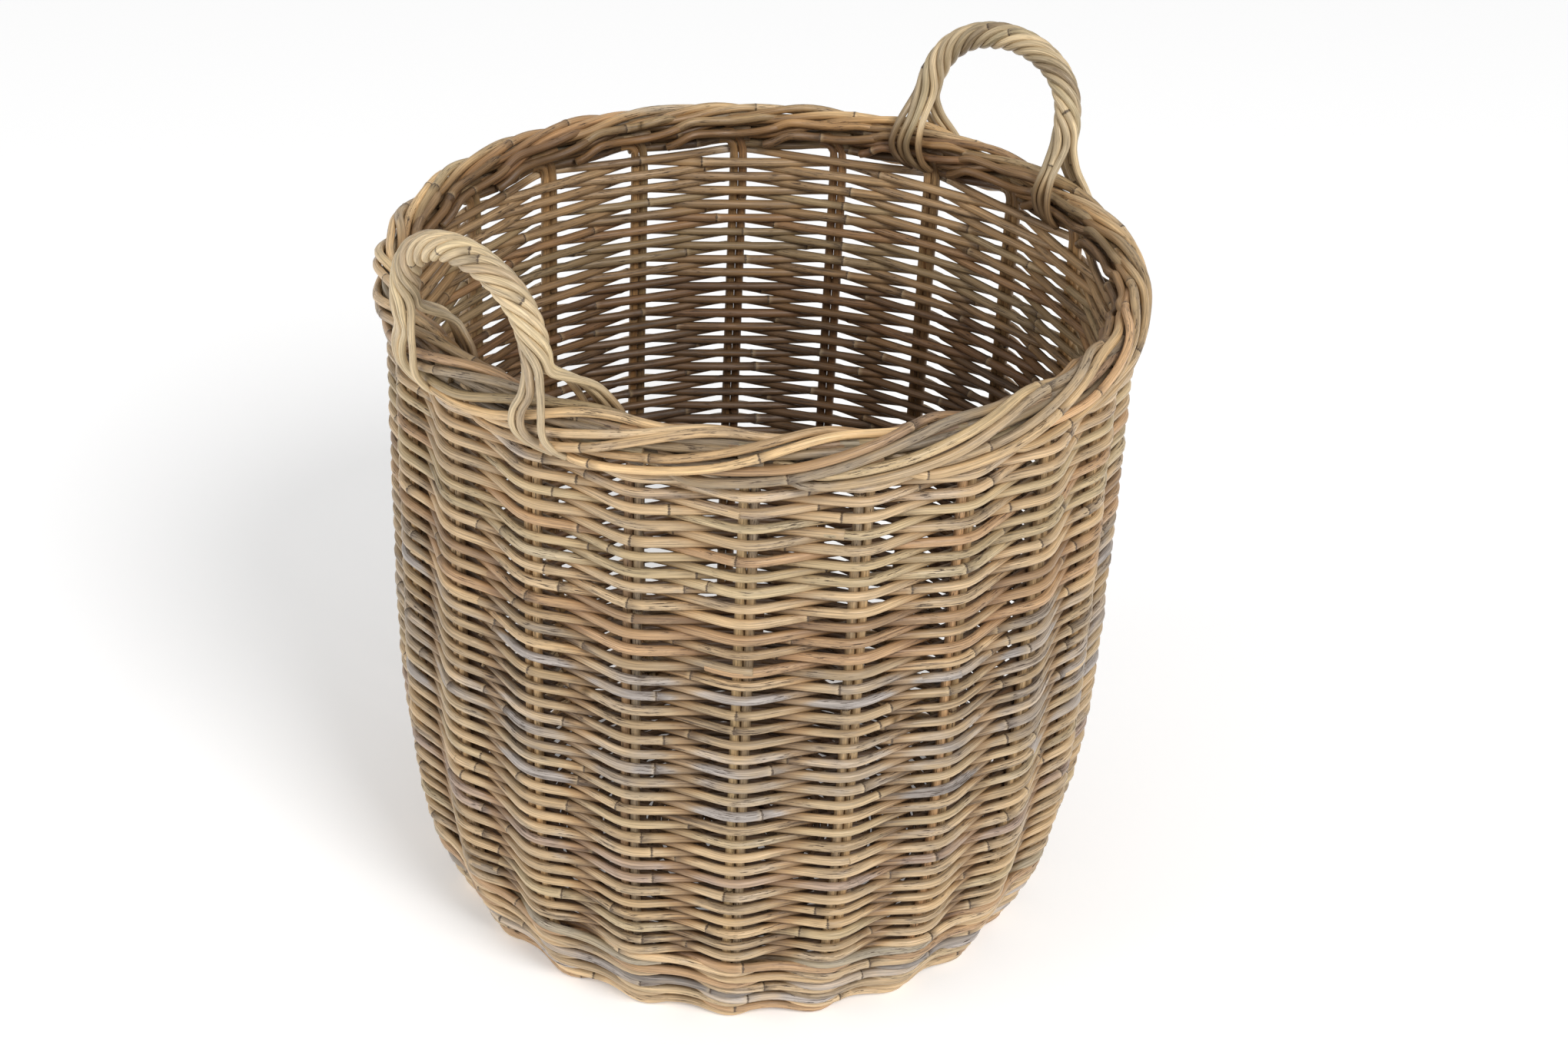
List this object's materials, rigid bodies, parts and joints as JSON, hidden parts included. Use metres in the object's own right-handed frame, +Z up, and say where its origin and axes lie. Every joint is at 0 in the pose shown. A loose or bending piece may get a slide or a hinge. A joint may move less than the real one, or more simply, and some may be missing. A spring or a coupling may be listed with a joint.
{
  "type": "log basket",
  "caption": "Round woven cane log basket with flared foot, rolled rod border and a twisted cane ear handle on each side.",
  "frame": {"origin": "on the floor at the middle of the base", "axes": "+Z up the basket's axis, +X towards one handle and -X towards the other, Y across the handles"},
  "size_m": [0.5199, 0.4999, 0.5536],
  "materials": {
    "stake_cane": "dry dark cane, satin",
    "weave_cane": "weathered golden to grey cane, satin",
    "foot_cane": "darker grey-brown cane, satin",
    "handle_cane": "smooth pale cane, satin",
    "base_cane": "dry cane, matt"
  },
  "bodies": {
    "root": {"base_stick_01": "base_cane", "base_stick_02": "base_cane", "base_stick_03": "base_cane", "base_stick_04": "base_cane", "base_stick_05": "base_cane", "base_stick_06": "base_cane", "base_stick_07": "base_cane", "base_stick_08": "base_cane", "base_weave": "base_cane", "foot_wale": "foot_cane", "side_weave_01": "weave_cane", "side_weave_02": "weave_cane", "side_weave_03": "weave_cane", "side_weave_04": "weave_cane", "stake_pair_01": "stake_cane", "stake_pair_02": "stake_cane", "stake_pair_03": "stake_cane", "stake_pair_04": "stake_cane", "stake_pair_05": "stake_cane", "stake_pair_06": "stake_cane", "stake_pair_07": "stake_cane", "stake_pair_08": "stake_cane", "stake_pair_09": "stake_cane", "stake_pair_10": "stake_cane", "stake_pair_11": "stake_cane", "stake_pair_12": "stake_cane", "stake_pair_13": "stake_cane", "stake_pair_14": "stake_cane", "stake_pair_15": "stake_cane", "stake_pair_16": "stake_cane", "stake_pair_17": "stake_cane", "stake_pair_18": "stake_cane", "stake_pair_19": "stake_cane", "stake_pair_20": "stake_cane", "stake_pair_21": "stake_cane", "right_handle_cane_01": "handle_cane", "right_handle_cane_02": "handle_cane", "right_handle_cane_03": "handle_cane", "right_handle_cane_04": "handle_cane", "right_handle_cane_05": "handle_cane", "right_handle_cane_06": "handle_cane", "right_handle_cane_07": "handle_cane", "left_handle_cane_01": "handle_cane", "left_handle_cane_02": "handle_cane", "left_handle_cane_03": "handle_cane", "left_handle_cane_04": "handle_cane", "left_handle_cane_05": "handle_cane", "left_handle_cane_06": "handle_cane", "left_handle_cane_07": "handle_cane", "right_handle_core": "handle_cane", "left_handle_core": "handle_cane"}
  },
  "joints": []
}
